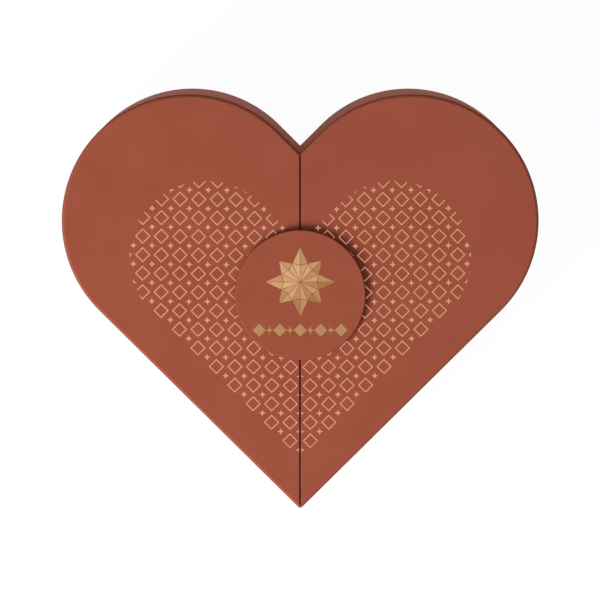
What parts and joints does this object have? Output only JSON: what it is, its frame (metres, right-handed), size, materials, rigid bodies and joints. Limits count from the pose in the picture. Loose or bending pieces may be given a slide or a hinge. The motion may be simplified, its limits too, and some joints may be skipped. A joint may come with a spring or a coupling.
{
  "type": "heart-shaped cosmetic gift box",
  "caption": "Rigid paper-covered heart box with half-heart doors that open from a centre seam, a round magnetic closing disc and a fitted tray with recesses.",
  "frame": {"origin": "middle of the closed box's outline, on the face that it lies on", "axes": "+Z out of the front with the doors, -Y towards the heart's tip, +Y towards the two lobes, +X to the right as the front is looked at"},
  "size_m": [0.24, 0.2102, 0.0695],
  "materials": {
    "wrap_paper": "soft-touch matt terracotta paper with a faint sheen",
    "greyboard": "raw grey recycled board",
    "liner_paper": "matt blush lining paper",
    "paper_tape": "kraft paper tape",
    "foam": "closed-cell foam, matt",
    "flocked_facing": "short flock",
    "ribbon": "satin ribbon",
    "adhesive": "double-sided foam tape",
    "magnet": "nickel-plated",
    "gold_foil": "hot-stamped rose-gold foil"
  },
  "bodies": {
    "tray": {"back_sheet": "wrap_paper", "back_board": "greyboard", "floor_liner": "liner_paper", "right_wall_board": "greyboard", "left_wall_board": "greyboard", "side_wrap": "wrap_paper", "wall_liner": "liner_paper", "notch_stay": "paper_tape", "tip_stay": "paper_tape", "foam_base": "foam", "foam_body": "foam", "fitting_facing": "flocked_facing", "lift_ribbon": "ribbon", "left_hinge_wall_leaf": "paper_tape", "right_hinge_wall_leaf": "paper_tape"},
    "left_door": {"left_hinge_door_leaf": "paper_tape", "left_door_liner": "liner_paper", "left_door_board": "greyboard", "left_door_wrap": "wrap_paper", "disc_pad": "adhesive", "disc_backing": "wrap_paper", "disc_board": "greyboard", "disc_wrap": "wrap_paper", "disc_magnet": "magnet"},
    "right_door": {"right_hinge_door_leaf": "paper_tape", "right_door_liner": "liner_paper", "right_door_board": "greyboard", "right_door_wrap": "wrap_paper", "keeper_magnet": "magnet"}
  },
  "joints": [
    {"name": "left_door_hinge", "type": "hinge", "parent": "tray", "child": "left_door", "pos_m": [-0.05063, -0.0548, 0.0625], "axis": [0.7071, -0.7071, 0], "range_deg": [0, 180]},
    {"name": "right_door_hinge", "type": "hinge", "parent": "tray", "child": "right_door", "pos_m": [0.05063, -0.0548, 0.0625], "axis": [0.7071, 0.7071, 0], "range_deg": [0, 180]}
  ],
  "couplings": [
    {"joint": "right_door_hinge", "follows": "left_door_hinge", "ratio": 1}
  ]
}
